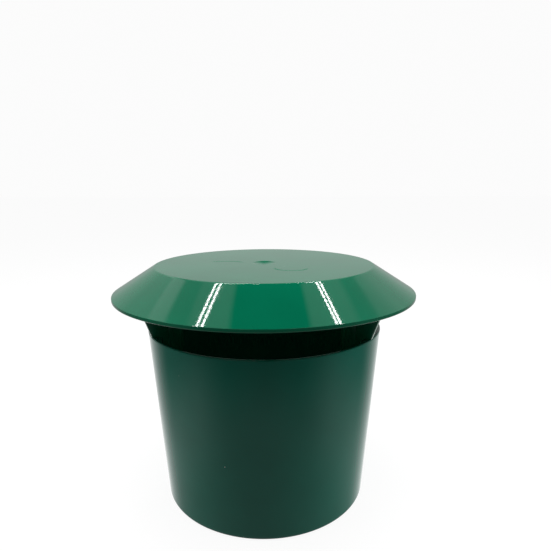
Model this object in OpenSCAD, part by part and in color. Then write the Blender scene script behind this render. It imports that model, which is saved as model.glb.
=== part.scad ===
// Covered bait trap for a garden or an orchard: a round cup that holds the bait,
// and a roof lid whose three legs stand on the cup's rim and leave a gap for crawling pests.
// Units are millimetres. +Z is up, and the origin is the centre of the cup's foot, on the ground.

/* [Cup] */
// Height of the cup, from the ground to the top of its rim
cup_h = 76; // [60:1:110]
// Outer diameter of the cup at its rim
rim_d = 101.8; // [80:0.2:124]
// Draft angle of the cup's side, which lets cups stack
side_draft = 4.74; // [2:0.02:8]
// Thickness of the cup's side wall
cup_wall = 1.3; // [1:0.1:2.4]
// Thickness of the cup's floor
floor_t = 1.6; // [1.2:0.1:3]
// Height of the foot ring, which is how far the middle of the floor is raised
foot_h = 1.5; // [0.8:0.1:3]
// Width of the moat between the raised floor and the side wall
moat_w = 4; // [2.5:0.1:8]
// Radius of the rounded edge where the side meets the ground
base_round = 1.8; // [0.5:0.1:3]
// Radius of the rounding on the rim's two edges
rim_round = 0.4; // [0.2:0.05:0.5]

/* [Cup floor marks] */
// Number of flat ejector marks in the raised floor
mark_count = 6; // [3:1:8]
// Diameter of one ejector mark
mark_d = 9.6; // [6:0.2:12]
// Radius of the circle that the ejector marks stand on
mark_ring_r = 27.5; // [20:0.5:31]
// Depth of an ejector mark
mark_depth = 0.25; // [0.1:0.05:0.5]
// Diameter of the round boss in the middle of the floor
cup_boss_d = 11.6; // [8:0.2:16]
// Diameter of the nub on that boss
cup_nub_d = 5.8; // [3:0.2:7]
// Diameter of the dimple under that boss, in the recess of the foot
cup_dimple_d = 10; // [6:0.2:14]

/* [Lid] */
// Diameter of the lid at its lower edge
lid_d = 130; // [120:1:160]
// Diameter of the flat top
top_d = 95; // [80:1:108]
// Height from the lid's lower corner up to its flat top
roof_rise = 11.2; // [6:0.2:20]
// Height of the upright edge under the sloped skirt
lip_h = 1.4; // [1:0.1:3]
// Least thickness of that upright edge
lip_t = 1.2; // [1:0.1:2]
// Thickness of the lid's sheet
lid_wall = 1.5; // [1.2:0.1:2.4]
// Radius of the rounded corner between the flat top and the skirt
top_round = 1.6; // [0.5:0.1:4]
// Radius of the rounding along the lower edge
lip_round = 0.4; // [0.2:0.05:0.6]
// Diameter of the dimple in the middle of the flat top
dimple_d = 10.4; // [5:0.2:12]
// Depth of that dimple, and of the one under the cup
dimple_depth = 0.7; // [0.3:0.05:1]
// Diameter of the boss under the dimple
lid_boss_d = 9.2; // [7:0.2:14]
// Diameter of the nub on that boss
lid_nub_d = 4.8; // [2.4:0.2:6]
// Diameter of the faint round step around that boss
lid_ring_d = 12.4; // [10:0.2:18]

/* [Legs] */
// Number of legs
leg_count = 3; // [3:1:6]
// Direction of the first leg, in degrees from +X
leg_first = 90; // [0:1:120]
// Open height between the rim and the lid's lower edge
gap_h = 14.2; // [8:0.2:25]
// Thickness of the upright fin that each leg is made from
fin_t = 1.8; // [1.2:0.1:3]
// How far a leg's pin hangs down inside the cup
pin_drop = 8; // [4:0.5:15]
// Length of the pin's lens-shaped section, along the fin
pin_len = 6.8; // [4:0.2:9]
// Width of the pin's lens-shaped section, across the fin
pin_w = 4.8; // [3:0.2:6]
// Distance from the pin's outer tip to the fin's stop
pin_set = 1.7; // [0.5:0.1:3]
// Play between the rim's inner edge and the fin's stop, which lets the lid drop in loosely
rim_play = 3; // [0.5:0.1:4]
// Angle from upright at which the fin's outer edge leans out to the skirt
fin_lean = 20; // [5:1:30]
// Draft angle of the fin's inner edge
fin_draft = 2.2; // [0:0.1:4]

/* [Hidden] */
$fn = 96;
round_steps = 6;
boss_h = 0.8;
nub_h = 0.7;
ring_h = 0.15;
boss_draft = 0.5;
nub_draft = 0.3;
inner_round = 1;
lip_eps = 0.05;

rim_r = rim_d / 2;
// How fast the cup's radius grows with height, and its radius at the ground
side_slope = tan(side_draft);
base_r = rim_r - cup_h * side_slope;
// Radius of the cup's outside at height z
function side_r(z) = base_r + side_slope * z;
// Horizontal thickness of the leaning side wall
side_t = cup_wall / cos(side_draft);
rim_in_r = rim_r - side_t;
moat_z = floor_t;
deck_z = foot_h + floor_t;
deck_r = side_r(moat_z) - side_t - moat_w;
recess_r = deck_r - cup_wall;
step_run = foot_h / 2;

lid_r = lid_d / 2;
top_r = top_d / 2;
lip_z = cup_h + gap_h;
corner_z = lip_z + lip_h;
top_z = corner_z + roof_rise;
ceiling_z = top_z - lid_wall;
roof_slope = roof_rise / (lid_r - top_r);
roof_pitch = atan(roof_slope);
// Height of the skirt's inner side at radius r
function skirt_z(r) = corner_z - lid_wall / cos(roof_pitch) + (lid_r - r) * roof_slope;
ceiling_r = top_r - lid_wall * tan(roof_pitch / 2);
// The upright edge is lip_t thick, or more where the sheet is thicker than the edge is high
lip_in_r = lid_r - max(lip_t, (lip_z - skirt_z(lid_r)) / roof_slope + lip_eps);

// Stations of a leg, measured outwards from the middle
stop_r = rim_in_r - rim_play;
pin_tip_z = cup_h - pin_drop;
pin_r = stop_r - pin_set - pin_len / 2;
pin_in_r = pin_r - pin_len / 2;
pin_out_r = pin_r + pin_len / 2;
leg_h = top_z - pin_tip_z;
// Radius of the two arcs that make the pin's lens
lens_r = (pow(pin_len / 2, 2) + pow(pin_w / 2, 2)) / pin_w;

// Points of an arc about c, from angle a0 to angle a1
function arc(c, r, a0, a1) =
    [for (i = [0:round_steps]) let (a = a0 + (a1 - a0) * i / round_steps) c + r * [cos(a), sin(a)]];

// Section of the cup from the axis outwards, up the side, over the rim and back along the floor
function cup_section() = concat(
    [[0, foot_h], [recess_r - step_run, foot_h], [recess_r, 0]],
    arc([side_r(base_round) - base_round / cos(side_draft), base_round], base_round, -90, -side_draft),
    arc([rim_r - rim_round, cup_h - rim_round], rim_round, 0, 90),
    arc([rim_in_r + rim_round, cup_h - rim_round], rim_round, 90, 180),
    arc([side_r(moat_z + inner_round) - side_t - inner_round / cos(side_draft), moat_z + inner_round],
        inner_round, -side_draft, -90),
    [[deck_r + step_run, moat_z], [deck_r, deck_z], [0, deck_z]]
);

// Section of the lid from the axis along the ceiling, down inside the skirt, around the lip
// and back over the top
function lid_section() = concat(
    [[0, ceiling_z], [ceiling_r, ceiling_z], [lip_in_r, skirt_z(lip_in_r)], [lip_in_r, lip_z]],
    arc([lid_r - lip_round, lip_z + lip_round], lip_round, -90, 0),
    [[lid_r, corner_z]],
    arc([top_r - top_round * tan(roof_pitch / 2), top_z - top_round], top_round, 90 - roof_pitch, 90),
    [[0, top_z]]
);

// A low round boss with a smaller nub on it, rising from z = 0 and rooted in a sheet below it
module seated_boss(boss_d, nub_d, sheet_t) {
    translate([0, 0, -sheet_t / 2]) cylinder(h = sheet_t / 2, d = boss_d);
    cylinder(h = boss_h, r1 = boss_d / 2, r2 = boss_d / 2 - boss_draft);
    cylinder(h = boss_h + nub_h, r1 = nub_d / 2, r2 = nub_d / 2 - nub_draft);
}

// A ball that cuts a shallow dish of diameter d and depth h, with the dish's edge at z = 0
module dish_cutter(d, h) {
    ball_r = (pow(d / 2, 2) + h * h) / (2 * h);
    translate([0, 0, ball_r - h]) sphere(r = ball_r);
}

module ejector_marks() {
    for (i = [0:mark_count - 1])
        rotate((i + 0.5) * 360 / mark_count)
            translate([mark_ring_r, 0, deck_z - mark_depth])
                cylinder(h = 2 * mark_depth, d = mark_d);
}

module bait_cup() {
    color([0.07, 0.29, 0.23])
    difference() {
        union() {
            rotate_extrude() polygon(cup_section());
            translate([0, 0, deck_z]) seated_boss(cup_boss_d, cup_nub_d, floor_t);
        }
        ejector_marks();
        translate([0, 0, foot_h]) mirror([0, 0, 1]) dish_cutter(cup_dimple_d, dimple_depth);
    }
}

// Upright fin of one leg in the plane of X and Z, cut later by the inside of the roof
module fin_blade() {
    rotate([90, 0, 0])
        linear_extrude(height = fin_t, center = true)
            polygon([
                [pin_in_r, pin_tip_z],
                [pin_out_r, pin_tip_z],
                [stop_r, pin_tip_z + pin_drop / 2],
                [stop_r, cup_h],
                [rim_r, cup_h],
                [rim_r + (top_z - cup_h) * tan(fin_lean), top_z],
                [pin_in_r - leg_h * tan(fin_draft), top_z]
            ]);
}

// Pin with a lens-shaped section, where two round arcs meet along the fin
module lens_pin() {
    translate([pin_r, 0, pin_tip_z])
        intersection() {
            translate([0, lens_r - pin_w / 2, 0]) cylinder(h = leg_h, r = lens_r);
            translate([0, pin_w / 2 - lens_r, 0]) cylinder(h = leg_h, r = lens_r);
        }
}

// Everything below the middle of the roof's sheet, which trims the legs
module under_roof() {
    rise = lid_wall / 2;
    rotate_extrude()
        polygon([
            [0, 0],
            [lid_r - lid_wall, 0],
            [lid_r - lid_wall, skirt_z(lid_r - lid_wall) + rise],
            [ceiling_r, ceiling_z + rise],
            [0, ceiling_z + rise]
        ]);
}

module legs() {
    intersection() {
        for (i = [0:leg_count - 1])
            rotate(leg_first + i * 360 / leg_count) {
                fin_blade();
                lens_pin();
            }
        under_roof();
    }
}

module roof_lid() {
    color([0.05, 0.4, 0.3])
    difference() {
        union() {
            rotate_extrude() polygon(lid_section());
            legs();
            translate([0, 0, ceiling_z]) mirror([0, 0, 1]) {
                translate([0, 0, -lid_wall / 2]) cylinder(h = lid_wall / 2 + ring_h, d = lid_ring_d);
                seated_boss(lid_boss_d, lid_nub_d, lid_wall);
            }
        }
        translate([0, 0, top_z]) dish_cutter(dimple_d, dimple_depth);
    }
}

bait_cup();
roof_lid();
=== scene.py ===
# Covered bait trap for slugs and snails: a moulded cup under a moulded roof lid.
import math

import bmesh
import bpy
from mathutils import Matrix, Vector


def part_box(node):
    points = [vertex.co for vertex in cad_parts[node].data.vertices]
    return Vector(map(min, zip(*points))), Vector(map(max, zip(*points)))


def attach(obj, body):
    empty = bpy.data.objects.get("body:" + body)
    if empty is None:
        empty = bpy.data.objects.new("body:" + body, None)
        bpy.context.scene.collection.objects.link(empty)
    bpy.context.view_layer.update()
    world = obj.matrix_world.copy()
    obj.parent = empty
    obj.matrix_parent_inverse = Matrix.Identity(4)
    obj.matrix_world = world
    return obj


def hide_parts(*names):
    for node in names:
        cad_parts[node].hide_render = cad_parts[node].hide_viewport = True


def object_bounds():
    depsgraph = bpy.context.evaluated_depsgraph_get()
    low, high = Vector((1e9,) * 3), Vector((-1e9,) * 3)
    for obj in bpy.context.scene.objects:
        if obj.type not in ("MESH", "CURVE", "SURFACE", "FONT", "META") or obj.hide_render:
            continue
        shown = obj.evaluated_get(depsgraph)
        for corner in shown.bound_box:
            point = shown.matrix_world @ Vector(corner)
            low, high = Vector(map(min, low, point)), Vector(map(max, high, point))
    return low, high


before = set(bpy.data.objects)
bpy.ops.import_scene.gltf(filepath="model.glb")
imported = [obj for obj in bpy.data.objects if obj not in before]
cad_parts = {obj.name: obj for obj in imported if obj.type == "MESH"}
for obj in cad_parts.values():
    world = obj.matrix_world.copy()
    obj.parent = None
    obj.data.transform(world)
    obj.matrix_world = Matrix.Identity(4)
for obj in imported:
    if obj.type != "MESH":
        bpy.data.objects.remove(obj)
cadLow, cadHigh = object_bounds()
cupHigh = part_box("bait_cup")[1]
lidLow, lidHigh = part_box("roof_lid")
mm = 0.001
print("frame loaded, cup and lid boxes read")


# camera

cameraSetup = {
    "lens": 32.25,           # mm
    "sensor": 36,            # mm wide
    "standOff": 215.3 * mm,  # from the trap's axis, along the ground
    "eyeHeight": 136.3 * mm,
    "lookDown": 10.34,       # degrees
    "lookRight": 1.31,
    "tilt": -0.22,
    "walkRound": 3.64,       # degrees about the trap, towards +X
}


def placeCamera(setup):
    cameraData = bpy.data.cameras.new("studioCamera")
    cameraData.lens = setup["lens"]
    cameraData.sensor_width = setup["sensor"]
    camera = bpy.data.objects.new("studioCamera", cameraData)
    bpy.context.scene.collection.objects.link(camera)
    down, right = math.radians(setup["lookDown"]), math.radians(setup["lookRight"])
    stand = Matrix.Translation((0, -setup["standOff"], setup["eyeHeight"]))
    aim = Matrix.Rotation(-right, 4, "Z") @ Matrix.Rotation(math.pi / 2 - down, 4, "X")
    lean = Matrix.Rotation(math.radians(setup["tilt"]), 4, "Z")
    walk = Matrix.Rotation(math.radians(setup["walkRound"]), 4, "Z")
    camera.matrix_world = walk @ stand @ aim @ lean
    bpy.context.scene.camera = camera


placeCamera(cameraSetup)
print("camera placed")


# node tree helpers

def addNode(tree, kind, inputs=None, **settings):
    node = tree.nodes.new(kind)
    for name, value in settings.items():
        setattr(node, name, value)
    for name, value in (inputs or {}).items():
        if isinstance(value, bpy.types.NodeSocket):
            tree.links.new(value, node.inputs[name])
        else:
            node.inputs[name].default_value = value
    return node


def doMath(tree, operation, first, second=0.0):
    return addNode(tree, "ShaderNodeMath", {0: first, 1: second}, operation=operation).outputs[0]


def ease(tree, value, fromLow, fromHigh, toLow=0.0, toHigh=1.0):
    # a smooth step from one level to another
    limits = {"Value": value, "From Min": fromLow, "From Max": fromHigh, "To Min": toLow, "To Max": toHigh}
    return addNode(tree, "ShaderNodeMapRange", limits, interpolation_type="SMOOTHSTEP").outputs["Result"]


def blend(tree, share, low, high):
    return addNode(tree, "ShaderNodeMix", {0: share, 2: low, 3: high}, data_type="FLOAT").outputs[0]


def newTree(name, sockets):
    tree = bpy.data.node_groups.new(name, "GeometryNodeTree")
    tree.interface.new_socket("Geometry", in_out="INPUT", socket_type="NodeSocketGeometry")
    tree.interface.new_socket("Geometry", in_out="OUTPUT", socket_type="NodeSocketGeometry")
    for label, kind in sockets:
        tree.interface.new_socket(label, in_out="INPUT", socket_type="NodeSocket" + kind)
    return tree, addNode(tree, "NodeGroupInput").outputs, addNode(tree, "NodeGroupOutput").inputs


def bakeTree(obj, tree, values, pieceName, satinAt):
    # runs the tree on the object and keeps the plain mesh that comes out, under a new name, with
    # how satin its surface is at each point, by distance from the axis and height
    modifier = obj.modifiers.new(tree.name, "NODES")
    modifier.node_group = tree
    for item in tree.interface.items_tree:
        if item.in_out == "INPUT" and item.name in values:
            modifier[item.identifier] = values[item.name]
    bpy.context.view_layer.update()
    grown = obj.evaluated_get(bpy.context.evaluated_depsgraph_get())
    mesh = bpy.data.meshes.new_from_object(grown)
    mesh.name = pieceName
    satin = mesh.attributes.new("satin", "FLOAT", "POINT")
    satin.data.foreach_set("value", [satinAt(v.co.xy.length, v.co.z) for v in mesh.vertices])
    obj.modifiers.remove(modifier)
    bpy.data.objects.remove(obj)
    piece = bpy.data.objects.new(pieceName, mesh)
    bpy.context.scene.collection.objects.link(piece)
    return piece


# turned outlines, which run from the axis along the underside, out, up and back over the top

def roundedOutline(corners, steps=7, support=0.4):
    # a corner is (radius from the axis, height, rounding), and each rounding becomes an arc
    points = [Vector(corners[0][:2])]
    for before, corner, after in zip(corners, corners[1:], corners[2:]):
        here = Vector(corner[:2])
        rounding = corner[2] if len(corner) > 2 else 0
        if not rounding:
            points.append(here)
            continue
        back = (Vector(before[:2]) - here).normalized()
        ahead = (Vector(after[:2]) - here).normalized()
        half = back.angle(ahead) / 2
        reach = rounding / math.tan(half)
        centre = here + (back + ahead).normalized() * (rounding / math.sin(half))
        start = here + back * reach - centre
        side = 1 if back.cross(ahead) < 0 else -1
        points.append(here + back * (reach + rounding * support))
        for step in range(steps + 1):
            turn = side * (math.pi - 2 * half) * step / steps
            points.append(centre + Vector((
                start.x * math.cos(turn) - start.y * math.sin(turn),
                start.x * math.sin(turn) + start.y * math.cos(turn))))
        points.append(here + ahead * (reach + rounding * support))
    points.append(Vector(corners[-1][:2]))
    return points


def dish(radius, height, depth, steps=10, curve=1.4):
    # a soft shallow dimple from its middle out to its edge; a negative depth sinks it from above
    return [(radius * step / steps, height + depth * (1 - (step / steps) ** curve)) for step in range(steps)]


def outlineObject(name, points):
    mesh = bpy.data.meshes.new(name)
    mesh.from_pydata([(p.x, 0, p.y) for p in points], [(i, i + 1) for i in range(len(points) - 1)], [])
    obj = bpy.data.objects.new(name, mesh)
    bpy.context.scene.collection.objects.link(obj)
    return obj


# geometry trees

weldGap = 0.002 * mm            # points nearer than this are one point
creaseAngle = math.radians(33)  # edges sharper than this stay crisp


def makeTurnTree():
    # spins the outline about Z: one row of the grid for each step, with the outline's points along it
    tree, given, result = newTree("turnOutline", [("Steps", "Int")])
    outline, steps = given["Geometry"], given["Steps"]
    size = addNode(tree, "GeometryNodeAttributeDomainSize", {"Geometry": outline}, component="MESH")
    count = size.outputs["Point Count"]
    rows = addNode(tree, "FunctionNodeIntegerMath", {0: steps, 1: 1}, operation="ADD").outputs[0]
    grid = addNode(tree, "GeometryNodeMeshGrid", {"Vertices X": rows, "Vertices Y": count})
    index = addNode(tree, "GeometryNodeInputIndex").outputs[0]
    row = addNode(tree, "FunctionNodeIntegerMath", {0: index, 1: count}, operation="DIVIDE_FLOOR").outputs[0]
    place = addNode(tree, "FunctionNodeIntegerMath", {0: index, 1: count}, operation="MODULO").outputs[0]
    position = addNode(tree, "GeometryNodeInputPosition").outputs[0]
    where = addNode(tree, "GeometryNodeSampleIndex", {
        "Geometry": outline, "Value": position, "Index": place}, data_type="FLOAT_VECTOR")
    stepAngle = doMath(tree, "DIVIDE", 2 * math.pi, steps)
    angle = doMath(tree, "MULTIPLY", row, stepAngle)
    turned = addNode(tree, "ShaderNodeVectorRotate", {"Vector": where.outputs[0], "Angle": angle},
                     rotation_type="Z_AXIS")
    shaped = addNode(tree, "GeometryNodeSetPosition",
                     {"Geometry": grid.outputs["Mesh"], "Position": turned.outputs[0]})
    closed = addNode(tree, "GeometryNodeMergeByDistance",
                     {"Geometry": shaped.outputs[0], "Distance": weldGap})
    tree.links.new(closed.outputs[0], result["Geometry"])
    return tree


def makeRingTree():
    # repeats the incoming shape round the Z axis
    tree, given, result = newTree("repeatRound", [("Count", "Int"), ("First Angle", "Float")])
    points = addNode(tree, "GeometryNodeMeshLine", {"Count": given["Count"], "Offset": (0, 0, 0)})
    index = addNode(tree, "GeometryNodeInputIndex").outputs[0]
    share = doMath(tree, "DIVIDE", 2 * math.pi, given["Count"])
    angle = doMath(tree, "ADD", doMath(tree, "MULTIPLY", index, share), given["First Angle"])
    turn = addNode(tree, "ShaderNodeCombineXYZ", {"Z": angle})
    copies = addNode(tree, "GeometryNodeInstanceOnPoints", {
        "Points": points.outputs[0], "Instance": given["Geometry"], "Rotation": turn.outputs[0]})
    real = addNode(tree, "GeometryNodeRealizeInstances", {"Geometry": copies.outputs[0]})
    tree.links.new(real.outputs[0], result["Geometry"])
    return tree


def makeFinishTree():
    # smooth faces, with crisp edges where they meet at more than the crease angle
    tree, given, result = newTree("finishMoulding", [("Crease Angle", "Float"), ("Material", "Material")])
    smooth = addNode(tree, "GeometryNodeSetShadeSmooth",
                     {0: given["Geometry"], "Shade Smooth": True}, domain="FACE")
    edge = addNode(tree, "GeometryNodeInputMeshEdgeAngle").outputs["Unsigned Angle"]
    isCrease = addNode(tree, "FunctionNodeCompare",
                       {0: edge, 1: given["Crease Angle"]}, operation="GREATER_THAN")
    crisp = addNode(tree, "GeometryNodeSetShadeSmooth", {
        0: smooth.outputs[0], "Selection": isCrease.outputs[0], "Shade Smooth": False}, domain="EDGE")
    real = addNode(tree, "GeometryNodeRealizeInstances", {"Geometry": crisp.outputs[0]})
    painted = addNode(tree, "GeometryNodeSetMaterial",
                      {"Geometry": real.outputs[0], "Material": given["Material"]})
    tree.links.new(painted.outputs[0], result["Geometry"])
    return tree


turnTree, ringTree, finishTree = makeTurnTree(), makeRingTree(), makeFinishTree()


def useTree(tree, part, inputs):
    return addNode(tree, "GeometryNodeGroup", inputs, node_tree=part).outputs[0]


def makeCupTree():
    # the turned cup, with a ring of round ejector marks sunk into its raised floor
    tree, given, result = newTree("mouldedCup", [
        ("Steps", "Int"), ("Mark Count", "Int"), ("Mark Angle", "Float"), ("Mark Place", "Vector"),
        ("Mark Radius", "Float"), ("Mark Depth", "Float"), ("Mark Sides", "Int"),
        ("Crease Angle", "Float"), ("Material", "Material")])
    shell = useTree(tree, turnTree, {"Geometry": given["Geometry"], "Steps": given["Steps"]})
    height = doMath(tree, "MULTIPLY", given["Mark Depth"], 2)
    wideTop = doMath(tree, "ADD", given["Mark Radius"], given["Mark Depth"])
    cutter = addNode(tree, "GeometryNodeMeshCone", {
        "Vertices": given["Mark Sides"], "Radius Top": wideTop, "Radius Bottom": given["Mark Radius"],
        "Depth": height})
    placed = addNode(tree, "GeometryNodeTransform", {
        "Geometry": cutter.outputs["Mesh"], "Translation": given["Mark Place"]})
    cutters = useTree(tree, ringTree, {
        "Geometry": placed.outputs[0], "Count": given["Mark Count"], "First Angle": given["Mark Angle"]})
    cut = addNode(tree, "GeometryNodeMeshBoolean", {"Mesh 1": shell, "Mesh 2": cutters},
                  operation="DIFFERENCE", solver="EXACT")
    done = useTree(tree, finishTree, {
        "Geometry": cut.outputs[0], "Crease Angle": given["Crease Angle"], "Material": given["Material"]})
    tree.links.new(done, result["Geometry"])
    return tree


def makeLidTree():
    # the turned roof, with its legs repeated round the axis and melted into it
    tree, given, result = newTree("mouldedLid", [
        ("Steps", "Int"), ("Fin", "Object"), ("Pin", "Object"), ("Leg Count", "Int"), ("Leg Angle", "Float"),
        ("Crease Angle", "Float"), ("Material", "Material")])
    shell = useTree(tree, turnTree, {"Geometry": given["Geometry"], "Steps": given["Steps"]})
    union = addNode(tree, "GeometryNodeMeshBoolean", operation="UNION", solver="EXACT")
    tree.links.new(shell, union.inputs["Mesh 2"])
    for part in ("Fin", "Pin"):
        shape = addNode(tree, "GeometryNodeObjectInfo", {"Object": given[part]}).outputs["Geometry"]
        copies = useTree(tree, ringTree, {
            "Geometry": shape, "Count": given["Leg Count"], "First Angle": given["Leg Angle"]})
        tree.links.new(copies, union.inputs["Mesh 2"])
    done = useTree(tree, finishTree, {
        "Geometry": union.outputs[0], "Crease Angle": given["Crease Angle"], "Material": given["Material"]})
    tree.links.new(done, result["Geometry"])
    return tree


print("geometry trees built")


# moulded plastic

def newMaterial(name):
    material = bpy.data.materials.new(name)
    material.use_nodes = True
    tree = material.node_tree
    tree.nodes.clear()
    return material, tree, addNode(tree, "ShaderNodeOutputMaterial").inputs["Surface"]


def arcLine(tree, flat, arc, wide):
    # 1 on a thin arc round (x, y), fading out to nothing at its edges and its two ends
    x, y, radius, middle, span = arc
    away = addNode(tree, "ShaderNodeVectorMath",
                   {0: flat, 1: (x * mm, y * mm, 0)}, operation="SUBTRACT").outputs[0]
    distance = addNode(tree, "ShaderNodeVectorMath", {0: away}, operation="LENGTH").outputs["Value"]
    middle, span = math.radians(middle), math.radians(span / 2)
    toMiddle = {0: away, 1: (math.cos(middle), math.sin(middle), 0)}
    facing = addNode(tree, "ShaderNodeVectorMath", toMiddle, operation="DOT_PRODUCT").outputs["Value"]
    offLine = doMath(tree, "ABSOLUTE", doMath(tree, "SUBTRACT", distance, radius * mm))
    onLine = ease(tree, offLine, 0.0, wide, 1.0, 0.0)
    cosine = doMath(tree, "DIVIDE", facing, distance)
    withinEnds = ease(tree, cosine, math.cos(span), math.cos(span * 0.7))  # the last 30 % fades
    return doMath(tree, "MULTIPLY", onLine, withinEnds)


def mouldedPlastic(name, look):
    material, tree, surface = newMaterial(name)
    place = addNode(tree, "ShaderNodeTexCoord").outputs["Object"]
    satin = addNode(tree, "ShaderNodeAttribute",
                    attribute_name="satin", attribute_type="GEOMETRY").outputs["Fac"]
    parts = addNode(tree, "ShaderNodeSeparateXYZ", {0: place}).outputs
    flat = addNode(tree, "ShaderNodeCombineXYZ", {"X": parts["X"], "Y": parts["Y"]}).outputs[0]
    radius = addNode(tree, "ShaderNodeVectorMath", {0: flat}, operation="LENGTH").outputs["Value"]
    around = doMath(tree, "ARCTAN2", parts["Y"], parts["X"])

    def cloud(scale, detail=3.0, vector=place):
        return addNode(tree, "ShaderNodeTexNoise", {
            "Vector": vector, "Scale": scale, "Detail": detail, "Roughness": 0.5}).outputs["Fac"]

    # colour: faint cloudy variation, and a painted sheen, a slightly greyer colour in cloudy patches on the
    # satin faces
    flow = ease(tree, cloud(look["flowScale"]), 0.3, 0.7)  # most of the noise lies between these
    base = addNode(tree, "ShaderNodeMix", {
        "Factor": flow, "A": (*look["deep"], 1), "B": (*look["pale"], 1)}, data_type="RGBA")
    cloudy = doMath(tree, "MULTIPLY", cloud(look["sheenScale"]), look["sheenAmount"])
    paintedSheen = doMath(tree, "MULTIPLY", satin, cloudy)
    colour = addNode(tree, "ShaderNodeMix", {
        "Factor": paintedSheen, "A": base.outputs["Result"], "B": (*look["sheenColour"], 1)}, data_type="RGBA")

    # fine brushed streaks that run out from the middle, and rings left by the turned mould
    fan = addNode(tree, "ShaderNodeCombineXYZ", {
        "X": doMath(tree, "MULTIPLY", around, look["streaksRound"]),
        "Y": doMath(tree, "MULTIPLY", radius, look["streaksOut"]), "Z": 0.0}).outputs[0]
    streaks = cloud(1.0, 2.0, fan)
    rings = doMath(tree, "SINE", doMath(tree, "MULTIPLY", radius, 2 * math.pi / look["ringPitch"]))

    # flow lines: hairlines on the outside where the plastic set duller
    lines = 0.0
    for arc in look.get("flowLines", ()):
        lines = doMath(tree, "ADD", lines, arcLine(tree, flat, arc, look["flowWide"]))

    # roughness: polished outside, satin inside, with handling marks
    patches = ease(tree, cloud(look["hazeScale"], 4.0), 0.35, 0.75)  # leaves some of it clear
    hazy = doMath(tree, "MULTIPLY", patches, look["hazeAmount"])
    outside = doMath(tree, "ADD", hazy, look["polished"])
    outside = doMath(tree, "ADD", outside, doMath(tree, "MULTIPLY", lines, look["flowDull"]))
    inside = doMath(tree, "ADD", doMath(tree, "MULTIPLY", streaks, look["streakHaze"]), look["satin"])
    roughness = blend(tree, satin, outside, inside)

    # dust: a few pale specks, one to a cell and most cells left clean
    cells = addNode(tree, "ShaderNodeTexVoronoi", {"Vector": place, "Scale": look["dustScale"]})
    chance = addNode(tree, "ShaderNodeSeparateColor", {0: cells.outputs["Color"]}).outputs[0]
    speck = ease(tree, cells.outputs["Distance"], look["dustSize"] / 2, look["dustSize"], 1.0, 0.0)
    dust = doMath(tree, "MULTIPLY", speck, doMath(tree, "LESS_THAN", chance, look["dustShare"]))
    dusty = addNode(tree, "ShaderNodeMix", {
        "Factor": dust, "A": colour.outputs["Result"], "B": (*look["dust"], 1)}, data_type="RGBA")

    # relief, in metres, with the mould's brushing and rings on level faces only
    facing = addNode(tree, "ShaderNodeTexCoord").outputs["Normal"]
    upright = doMath(tree, "ABSOLUTE", addNode(tree, "ShaderNodeSeparateXYZ", {0: facing}).outputs["Z"])
    brushed = doMath(tree, "MULTIPLY", satin, ease(tree, upright, *look["levelFaces"]))
    sag = doMath(tree, "MULTIPLY", cloud(look["sagScale"], 1.0), look["sagHeight"])
    peel = doMath(tree, "MULTIPLY", cloud(look["peelScale"], 2.0), look["peelHeight"])
    marks = doMath(tree, "ADD", doMath(tree, "MULTIPLY", streaks, look["streakHeight"]),
                   doMath(tree, "MULTIPLY", rings, look["ringHeight"]))
    relief = doMath(tree, "ADD", doMath(tree, "ADD", sag, peel), doMath(tree, "MULTIPLY", marks, brushed))
    bump = addNode(tree, "ShaderNodeBump", {"Height": relief, "Distance": 1.0, "Strength": 1.0})

    shader = addNode(tree, "ShaderNodeBsdfPrincipled", {
        "Base Color": dusty.outputs["Result"], "Roughness": roughness, "IOR": look["ior"],
        "Normal": bump.outputs[0]})
    tree.links.new(shader.outputs[0], surface)
    return material


plasticLook = {
    "deep": (0.0003, 0.140, 0.069),
    "pale": (0.0006, 0.162, 0.080),
    # painted sheen: a greyer colour mixed into the base colour of the satin faces
    "sheenColour": (0.05, 0.20, 0.14),
    "flowScale": 30, "sheenScale": 60, "sheenAmount": 0.25,
    "polished": 0.035, "satin": 0.34, "ior": 1.49,
    "hazeScale": 260, "hazeAmount": 0.03,
    "streaksRound": 26, "streaksOut": 22, "streakHaze": 0.14, "streakHeight": 6e-6,
    "ringPitch": 0.9 * mm, "ringHeight": 4e-7,
    "levelFaces": (0.85, 0.97),  # how far up a face looks before it is brushed
    "sagScale": 28, "sagHeight": 4e-5,
    "peelScale": 900, "peelHeight": 1.2e-6,
    "dust": (0.45, 0.55, 0.48), "dustScale": 230, "dustSize": 0.065, "dustShare": 0.10,
    "flowWide": 0.85 * mm, "flowDull": 0.7,
}
cupLook = {"deep": (0.0020, 0.138, 0.092), "pale": (0.0026, 0.158, 0.106)}
# flow lines beside the gate: middle x and y, radius, direction of the arc's middle, degrees of arc
lidLook = {"flowLines": ((-17.0, -8.0, 11.8, 87, 80), (12.0, -13.4, 7.0, 268, 170))}
cupPlastic = mouldedPlastic("greenPlasticCup", {**plasticLook, **cupLook})
lidPlastic = mouldedPlastic("greenPlasticLid", {**plasticLook, **lidLook})
print("materials ready")


# cup

cup = {
    "draft": 4.74,            # degrees
    "wall": 1.3 * mm,
    "floorThick": 1.6 * mm,
    "footHigh": 1.5 * mm,
    "moatWide": 4 * mm,
    "rimRound": 0.42 * mm,
    "footRound": 1.8 * mm,
    "dimpleRadius": 5 * mm, "dimpleDepth": 0.7 * mm,
    "bossRadius": 5.8 * mm, "bossHigh": 0.8 * mm, "bossDraft": 0.5 * mm,
    "nubRadius": 2.9 * mm, "nubHigh": 0.7 * mm, "nubDraft": 0.3 * mm,
    "satinBelow": 6 * mm, "wallSatin": 0.45,
    "marks": 6, "markRadius": 4.8 * mm, "markRing": 27.5 * mm, "markDepth": 0.25 * mm, "markSides": 72,
    "steps": 240,
}


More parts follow.
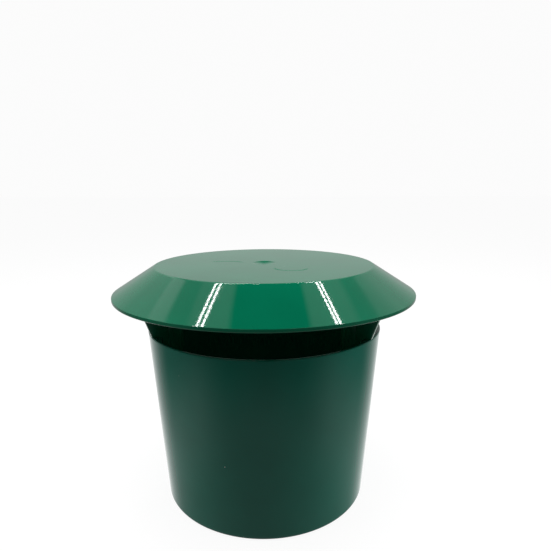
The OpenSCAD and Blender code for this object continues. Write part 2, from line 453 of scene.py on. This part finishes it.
def cupOutline(size):
    slope = math.tan(math.radians(size["draft"]))
    rim, height = cupHigh.x, cupHigh.z
    foot = rim - height * slope
    wall = size["wall"] / math.cos(math.radians(size["draft"]))
    moatZ, deckZ = size["floorThick"], size["floorThick"] + size["footHigh"]
    deck = foot + slope * moatZ - wall - size["moatWide"]
    recess, run = deck - size["wall"], size["footHigh"] / 2
    bossZ, nubZ = deckZ + size["bossHigh"], deckZ + size["bossHigh"] + size["nubHigh"]
    boss, nub = size["bossRadius"], size["nubRadius"]
    # each corner is its distance from the axis, its height and its rounding
    return deckZ, deck, roundedOutline([
        *dish(size["dimpleRadius"], size["footHigh"], size["dimpleDepth"]),
        (size["dimpleRadius"], size["footHigh"], 0.8 * mm),
        (recess - run, size["footHigh"], 0.5 * mm),
        (recess, 0, 0.3 * mm),
        (foot, 0, size["footRound"]),
        (rim, height, size["rimRound"]),
        (rim - wall, height, size["rimRound"]),
        (foot + slope * moatZ - wall, moatZ, 1 * mm),
        (deck + run, moatZ, 0.5 * mm),
        (deck, deckZ, 0.35 * mm),
        (boss, deckZ, 0.25 * mm),
        (boss - size["bossDraft"], bossZ, 0.5 * mm),
        (nub, bossZ, 0.2 * mm),
        (nub - size["nubDraft"], nubZ, 0.5 * mm),
        (0, nubZ)])


def makeCup(size):
    deckZ, deck, points = cupOutline(size)
    slope = math.tan(math.radians(size["draft"]))

    def satinAt(radius, height):
        # the floor's upper face is satin, and the wall's inner face less so
        floor = deckZ - size["floorThick"] / 3 if radius < deck else size["floorThick"] * 0.9
        if height < floor or radius > cupHigh.x - (cupHigh.z - height) * slope - size["wall"] / 2:
            return 0.0
        return 1.0 if height < size["satinBelow"] else size["wallSatin"]

    return bakeTree(outlineObject("cupOutline", points), makeCupTree(), {
        "Steps": size["steps"], "Mark Count": size["marks"], "Mark Angle": math.pi / size["marks"],
        "Mark Place": (size["markRing"], 0, deckZ - size["markDepth"]),
        "Mark Radius": size["markRadius"], "Mark Depth": size["markDepth"], "Mark Sides": size["markSides"],
        "Crease Angle": creaseAngle, "Material": cupPlastic}, "cupMoulding", satinAt)


cupPiece = makeCup(cup)
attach(cupPiece, "cup")
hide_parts("bait_cup")
print("cup moulded:", len(cupPiece.data.polygons), "faces")


# lid

lid = {
    "topRadius": 47.5 * mm,
    "rise": 11.2 * mm,        # from the lip's upper corner to the flat top
    "lipHigh": 1.4 * mm,
    "lipThick": 1.2 * mm,
    "wall": 1.5 * mm,
    "topRound": 1.6 * mm,
    "dimpleRadius": 5.2 * mm, "dimpleDepth": 0.7 * mm,
    "ringRadius": 6.2 * mm, "ringHigh": 0.15 * mm, "skirtSatin": 0.35,
    "bossRadius": 4.6 * mm, "bossHigh": 0.8 * mm, "bossDraft": 0.5 * mm,
    "nubRadius": 2.4 * mm, "nubHigh": 0.7 * mm, "nubDraft": 0.3 * mm,
    "steps": 240,
}
leg = {
    "count": 3, "first": 90,  # degrees
    "thick": 1.8 * mm, "rootThick": 2.2 * mm,
    "tipZ": lidLow.z,
    "pinLong": 6.8 * mm, "pinWide": 4.8 * mm, "pinSet": 1.7 * mm,
    "play": 3 * mm,
    "lean": 20, "draft": 2.2,  # degrees
    "edgeRound": 0.22 * mm, "tipRound": 0.45 * mm,
    "finInset": 0.1 * mm,      # how far the fin's ends stay inside the pin's
    "finRaise": 0.06 * mm,     # and its lower edge above the pin's tip
    "pinSteps": 14, "tipSwell": 0.97, "rootSwell": 1.06,  # the pin's draft, as a share of its width
}


def lidOutline(size):
    rim, top = lidHigh.x, lidHigh.z
    corner = top - size["rise"]
    lip = corner - size["lipHigh"]
    ceiling = top - size["wall"]
    slope = size["rise"] / (rim - size["topRadius"])
    pitch = math.atan(slope)
    inner = rim - size["lipThick"]
    innerZ = corner - size["wall"] / math.cos(pitch) + size["lipThick"] * slope
    bend = size["topRadius"] - size["wall"] * math.tan(pitch / 2)
    bossZ, nubZ = ceiling - size["bossHigh"], ceiling - size["bossHigh"] - size["nubHigh"]
    boss, nub = size["bossRadius"], size["nubRadius"]
    return roundedOutline([
        (0, nubZ),
        (nub - size["nubDraft"], nubZ, 0.5 * mm),
        (nub, bossZ, 0.2 * mm),
        (boss - size["bossDraft"], bossZ, 0.4 * mm),
        (boss, ceiling - size["ringHigh"], 0.2 * mm),
        (size["ringRadius"], ceiling - size["ringHigh"]),
        (size["ringRadius"] + size["ringHigh"], ceiling),
        (bend, ceiling, 1.2 * mm),
        (inner, innerZ, 0.08 * mm),
        (inner, lip, 0.15 * mm),
        (rim, lip, 0.45 * mm),
        (rim, corner, 0.25 * mm),
        (size["topRadius"], top, size["topRound"]),
        (size["dimpleRadius"], top, 0.8 * mm),
        *reversed(dish(size["dimpleRadius"], top, -size["dimpleDepth"]))])


def bmeshObject(name, mesh):
    data = bpy.data.meshes.new(name)
    mesh.to_mesh(data)
    mesh.free()
    obj = bpy.data.objects.new(name, data)
    bpy.context.scene.collection.objects.link(obj)
    return obj


def moulded(name, profile, halfThick, edgeRound):
    # a plate in the XZ plane, as thick at each height as halfThick(z) says, with its edges eased
    mesh = bmesh.new()
    faces = [[mesh.verts.new((x, side * halfThick(z), z)) for x, z in profile] for side in (-1, 1)]
    mesh.faces.new(faces[0])
    mesh.faces.new(reversed(faces[1]))
    for i in range(len(profile)):
        j = (i + 1) % len(profile)
        mesh.faces.new((faces[0][j], faces[0][i], faces[1][i], faces[1][j]))
    bmesh.ops.bevel(mesh, geom=mesh.edges[:], offset=edgeRound, segments=3, profile=0.5, affect="EDGES")
    bmesh.ops.recalc_face_normals(mesh, faces=mesh.faces[:])
    return bmeshObject(name, mesh)


def legStations(size):
    # distances from the axis of the leg's stop, and of its pin's outer and inner tips
    wall = cup["wall"] / math.cos(math.radians(cup["draft"]))
    stop = cupHigh.x - wall - size["play"]
    pinOut = stop - size["pinSet"]
    return stop, pinOut, pinOut - size["pinLong"]


def meetSkirt(rim, seat, lean, bend, ceiling, slope):
    # where a line that rises from (rim, seat), out by lean per unit of height, meets the skirt
    outer = (rim / lean - seat + ceiling + bend * slope) / (1 / lean + slope)
    return outer, seat + (outer - rim) / lean


def makeFin(size, roof):
    stop, pinOut, pinIn = legStations(size)
    rim, seat, tip = cupHigh.x, cupHigh.z, size["tipZ"] + size["finRaise"]
    slope = roof["rise"] / (lidHigh.x - roof["topRadius"])
    midCeiling = lidHigh.z - roof["wall"] / 2
    midBend = roof["topRadius"]
    lean, draft = math.tan(math.radians(size["lean"])), math.tan(math.radians(size["draft"]))
    outer, outerZ = meetSkirt(rim, seat, lean, midBend, midCeiling, slope)
    height, inset = midCeiling - tip, size["finInset"]
    profile = [
        (pinIn + inset, tip), (pinOut - inset, tip),
        (stop, tip + (seat - tip) / 2), (stop, seat), (rim, seat),
        (outer, outerZ), (midBend, midCeiling), (pinIn - height * draft, midCeiling)]

    def halfThick(z):
        share = (z - tip) / height
        return (size["thick"] + (size["rootThick"] - size["thick"]) * share) / 2

    return moulded("legFin", profile, halfThick, size["edgeRound"])


def makePin(size, roof):
    # the pin's section is a lens, where two round arcs meet along the fin
    pinOut, pinIn = legStations(size)[1:]
    middle, half, wide = (pinOut + pinIn) / 2, size["pinLong"] / 2, size["pinWide"] / 2
    arc = (half ** 2 + wide ** 2) / (2 * wide)
    steps = size["pinSteps"]
    side = [-half * math.cos(math.pi * i / steps) for i in range(steps + 1)]
    bow = [math.sqrt(max(arc ** 2 - x ** 2, 0)) - (arc - wide) for x in side]
    ring = list(zip(side, bow)) + [(x, -y) for x, y in reversed(list(zip(side, bow))[1:-1])]
    top = lidHigh.z - roof["wall"] / 2
    mesh = bmesh.new()
    levels = []
    for z, swell in ((size["tipZ"], size["tipSwell"]), (top, size["rootSwell"])):
        levels.append([mesh.verts.new((middle + x * swell, y * swell, z)) for x, y in ring])
    low, high = levels
    bottom = mesh.faces.new(low)
    mesh.faces.new(reversed(high))
    for i in range(len(ring)):
        j = (i + 1) % len(ring)
        mesh.faces.new((low[j], low[i], high[i], high[j]))
    bmesh.ops.bevel(
        mesh, geom=bottom.edges[:], offset=size["tipRound"], segments=4, profile=0.5, affect="EDGES")
    bmesh.ops.recalc_face_normals(mesh, faces=mesh.faces[:])
    return bmeshObject("legPin", mesh)


def makeLid(size, legSize):
    slope = size["rise"] / (lidHigh.x - size["topRadius"])

    def satinAt(radius, height):
        # the ceiling is satin, and the skirt's inner face and the legs less so
        middle = lidHigh.z - (size["wall"] + size["dimpleDepth"]) / 2
        sheet = middle - max(0, radius - size["topRadius"]) * slope
        if height > sheet or radius > lidHigh.x - size["lipThick"] / 2:
            return 0.0
        isCeiling = height > middle - 3 * size["wall"] and radius < size["topRadius"] - size["wall"] / 2
        return 1.0 if isCeiling else size["skirtSatin"]

    fin, pin = makeFin(legSize, size), makePin(legSize, size)
    piece = bakeTree(outlineObject("lidOutline", lidOutline(size)), makeLidTree(), {
        "Steps": size["steps"], "Fin": fin, "Pin": pin, "Leg Count": legSize["count"],
        "Leg Angle": math.radians(legSize["first"]), "Crease Angle": creaseAngle,
        "Material": lidPlastic}, "lidMoulding", satinAt)
    for helper in (fin, pin):
        bpy.data.objects.remove(helper)
    return piece


lidPiece = makeLid(lid, leg)
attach(lidPiece, "lid")
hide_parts("roof_lid")
print("lid moulded:", len(lidPiece.data.polygons), "faces")


# studio

studio = {
    "floorHalf": 6.0, "floorDrop": 0.01 * mm, "floorGlow": 0.925, "floorPaint": 0.11, "backdrop": 0.97,
    # rows of small lamps under the tent's roof, hung along the streaks that they leave on the lid
    "rowHigh": 0.5, "rowLong": 0.5, "rowPitch": 0.0062,
    "lampLong": 0.0036, "lampWide": 0.008, "lampGlow": 48,
    # middle x and y of each row, and its direction in degrees
    "rows": ((-0.157, 0.130, 59.9), (-0.137, 0.121, 58.4), (0.173, 0.144, 119.3), (0.190, 0.153, 116.8)),
    # brightness across the tent's roof, by metres to the side for each metre up
    "roofPanels": (
        (-1.4, 0.45), (-0.93, 0.62), (-0.88, 0.95), (-0.73, 0.95), (-0.68, 0.30), (-0.53, 0.30),
        (-0.49, 0.52), (-0.24, 0.55), (-0.20, 0.015), (0.27, 0.015), (0.31, 0.55), (0.62, 0.50),
        (0.70, 0.22), (0.84, 0.24), (0.92, 0.50), (1.4, 0.62)),
    "roofReach": 1.5,
    # where the tent's parts meet: roof and wall, wall and floor, and front and back of the floor
    "roofEdge": (0.35, 0.5), "wallFoot": (0.0, 0.06), "floorMiddle": (-0.75, -0.2),
    # how brightness eases across each part: from one direction to another, from one level to another
    "wallGlow": (0.0, 0.5, 0.04, 0.5),
    "frontGlow": (-0.62, -0.48, 0.25, 0.07),
    "besideGlow": (-0.68, -0.57, 0.30, 0.45), "besideFade": (-0.56, -0.4, 0.0, 0.33),
    "backGlow": (0.3, 1.0, 0.0, 0.95),
    "backLow": (-0.68, -0.45, 0.55, 1.0), "backHigh": (-0.3, -0.2, 1.0, 0.35),
    # soft lamps that fill in and leave no highlight: place, width and watts
    "softLamps": (
        ((0, -0.12, 0.8), 0.35, 3.2), ((-0.45, 0.06, -0.06), 0.3, 0.8), ((0.45, 0.06, -0.06), 0.3, 1.25)),
    "lampAim": (0, 0, 0.03),
}


def stageMesh(name, mesh, hiddenFrom):
    obj = bpy.data.objects.new(name, mesh)
    bpy.context.scene.collection.objects.link(obj)
    for sight in hiddenFrom:
        setattr(obj, "visible_" + sight, False)


def paperFloor(size):
    half, z = size["floorHalf"], cadLow.z - size["floorDrop"]
    mesh = bpy.data.meshes.new("paperFloor")
    corners = [(-half, -half, z), (half, -half, z), (half, half, z), (-half, half, z)]
    mesh.from_pydata(corners, [], [(0, 1, 2, 3)])
    material, tree, surface = newMaterial("paperFloor")
    matt = addNode(tree, "ShaderNodeBsdfDiffuse", {"Color": (*[size["floorPaint"]] * 3, 1)})
    glow = addNode(tree, "ShaderNodeEmission", {"Color": (1, 1, 1, 1), "Strength": size["floorGlow"]})
    lit = addNode(tree, "ShaderNodeAddShader", {0: matt.outputs[0], 1: glow.outputs[0]})
    clear = addNode(tree, "ShaderNodeBsdfTransparent")
    below = addNode(tree, "ShaderNodeNewGeometry").outputs["Backfacing"]
    sheet = addNode(tree, "ShaderNodeMixShader", {0: below, 1: lit.outputs[0], 2: clear.outputs[0]})
    tree.links.new(sheet.outputs[0], surface)
    mesh.materials.append(material)
    stageMesh("paperFloor", mesh, ("diffuse", "glossy", "transmission", "shadow"))


def lampRows(size):
    walk = Matrix.Rotation(math.radians(cameraSetup["walkRound"]), 4, "Z")
    material, tree, surface = newMaterial("lampGlow")
    glow = addNode(tree, "ShaderNodeEmission", {"Color": (1, 1, 1, 1), "Strength": size["lampGlow"]})
    tree.links.new(glow.outputs[0], surface)
    corners, faces = [], []
    lamps = int(size["rowLong"] / size["rowPitch"])
    long, wide = size["lampLong"] / 2, size["lampWide"] / 2
    square = ((-1, -1), (-1, 1), (1, 1), (1, -1))
    for x, y, heading in size["rows"]:
        turn = Matrix.Rotation(math.radians(heading), 4, "Z")
        row = walk @ Matrix.Translation((x, y, size["rowHigh"])) @ turn
        for lamp in range(lamps):
            along = (lamp - lamps / 2) * size["rowPitch"]
            faces.append([len(corners) + k for k in range(4)])
            corners += [row @ Vector((along + a * long, b * wide, 0)) for a, b in square]
    mesh = bpy.data.meshes.new("lampRows")
    mesh.from_pydata(corners, [], faces)
    mesh.materials.append(material)
    stageMesh("lampRows", mesh, ("camera", "shadow"))


def softLamps(size):
    walk = Matrix.Rotation(math.radians(cameraSetup["walkRound"]), 4, "Z")
    for number, (place, width, power) in enumerate(size["softLamps"]):
        lamp = bpy.data.lights.new("softLamp%d" % number, "AREA")
        lamp.size, lamp.energy = width, power
        box = bpy.data.objects.new(lamp.name, lamp)
        bpy.context.scene.collection.objects.link(box)
        aim = (Vector(size["lampAim"]) - Vector(place)).to_track_quat("-Z", "Y").to_matrix().to_4x4()
        box.matrix_world = walk @ Matrix.Translation(place) @ aim
        box.visible_glossy = False


def lightTent(size):
    # a white tent: open and dim in front, its roof in lit and dark panels, its sides and back bright
    world = bpy.data.worlds.new("lightTent")
    bpy.context.scene.world = world
    world.use_nodes = True
    tree = world.node_tree
    tree.nodes.clear()
    way = addNode(tree, "ShaderNodeTexCoord").outputs["Generated"]
    walk = {"Vector": way, "Angle": -math.radians(cameraSetup["walkRound"])}
    faced = addNode(tree, "ShaderNodeVectorRotate", walk, rotation_type="Z_AXIS").outputs[0]
    x, y, z = addNode(tree, "ShaderNodeSeparateXYZ", {0: faced}).outputs

    # roof, with the ramp's middle straight above
    reach = size["roofReach"]
    across = doMath(tree, "DIVIDE", x, doMath(tree, "MAXIMUM", z, 0.05))  # never near a zero
    share = doMath(tree, "ADD", doMath(tree, "MULTIPLY", across, 0.5 / reach), 0.5)
    ramp = addNode(tree, "ShaderNodeValToRGB", {"Fac": share})
    stops = ramp.color_ramp.elements
    while len(stops) < len(size["roofPanels"]):
        stops.new(0.5)
    for stop, (place, brightness) in zip(stops, size["roofPanels"]):
        stop.position = 0.5 + place * 0.5 / reach
        stop.color = (brightness, brightness, brightness, 1)
    wall = ease(tree, y, *size["wallGlow"])
    upper = blend(tree, ease(tree, z, *size["roofEdge"]), wall, ramp.outputs["Color"])

    # floor: dim in front, brighter beside the trap, dark towards the sides' horizon, bright at the back
    front = ease(tree, z, *size["frontGlow"])
    beside = doMath(tree, "SUBTRACT", ease(tree, z, *size["besideGlow"]), ease(tree, z, *size["besideFade"]))
    back = doMath(tree, "MULTIPLY", ease(tree, y, *size["backGlow"]), ease(tree, z, *size["backLow"]))
    back = doMath(tree, "MULTIPLY", back, ease(tree, z, *size["backHigh"]))
    behind = doMath(tree, "ADD", beside, back)
    lower = blend(tree, ease(tree, y, *size["floorMiddle"]), front, behind)
    glow = blend(tree, ease(tree, z, *size["wallFoot"]), lower, upper)
    seen = addNode(tree, "ShaderNodeLightPath").outputs["Is Camera Ray"]
    background = addNode(tree, "ShaderNodeBackground", {
        "Color": (1, 1, 1, 1), "Strength": blend(tree, seen, glow, size["backdrop"])})
    output = addNode(tree, "ShaderNodeOutputWorld")
    tree.links.new(background.outputs[0], output.inputs["Surface"])


paperFloor(studio)
lampRows(studio)
softLamps(studio)
lightTent(studio)
bpy.context.scene.view_settings.view_transform = "Standard"
print("studio lit")
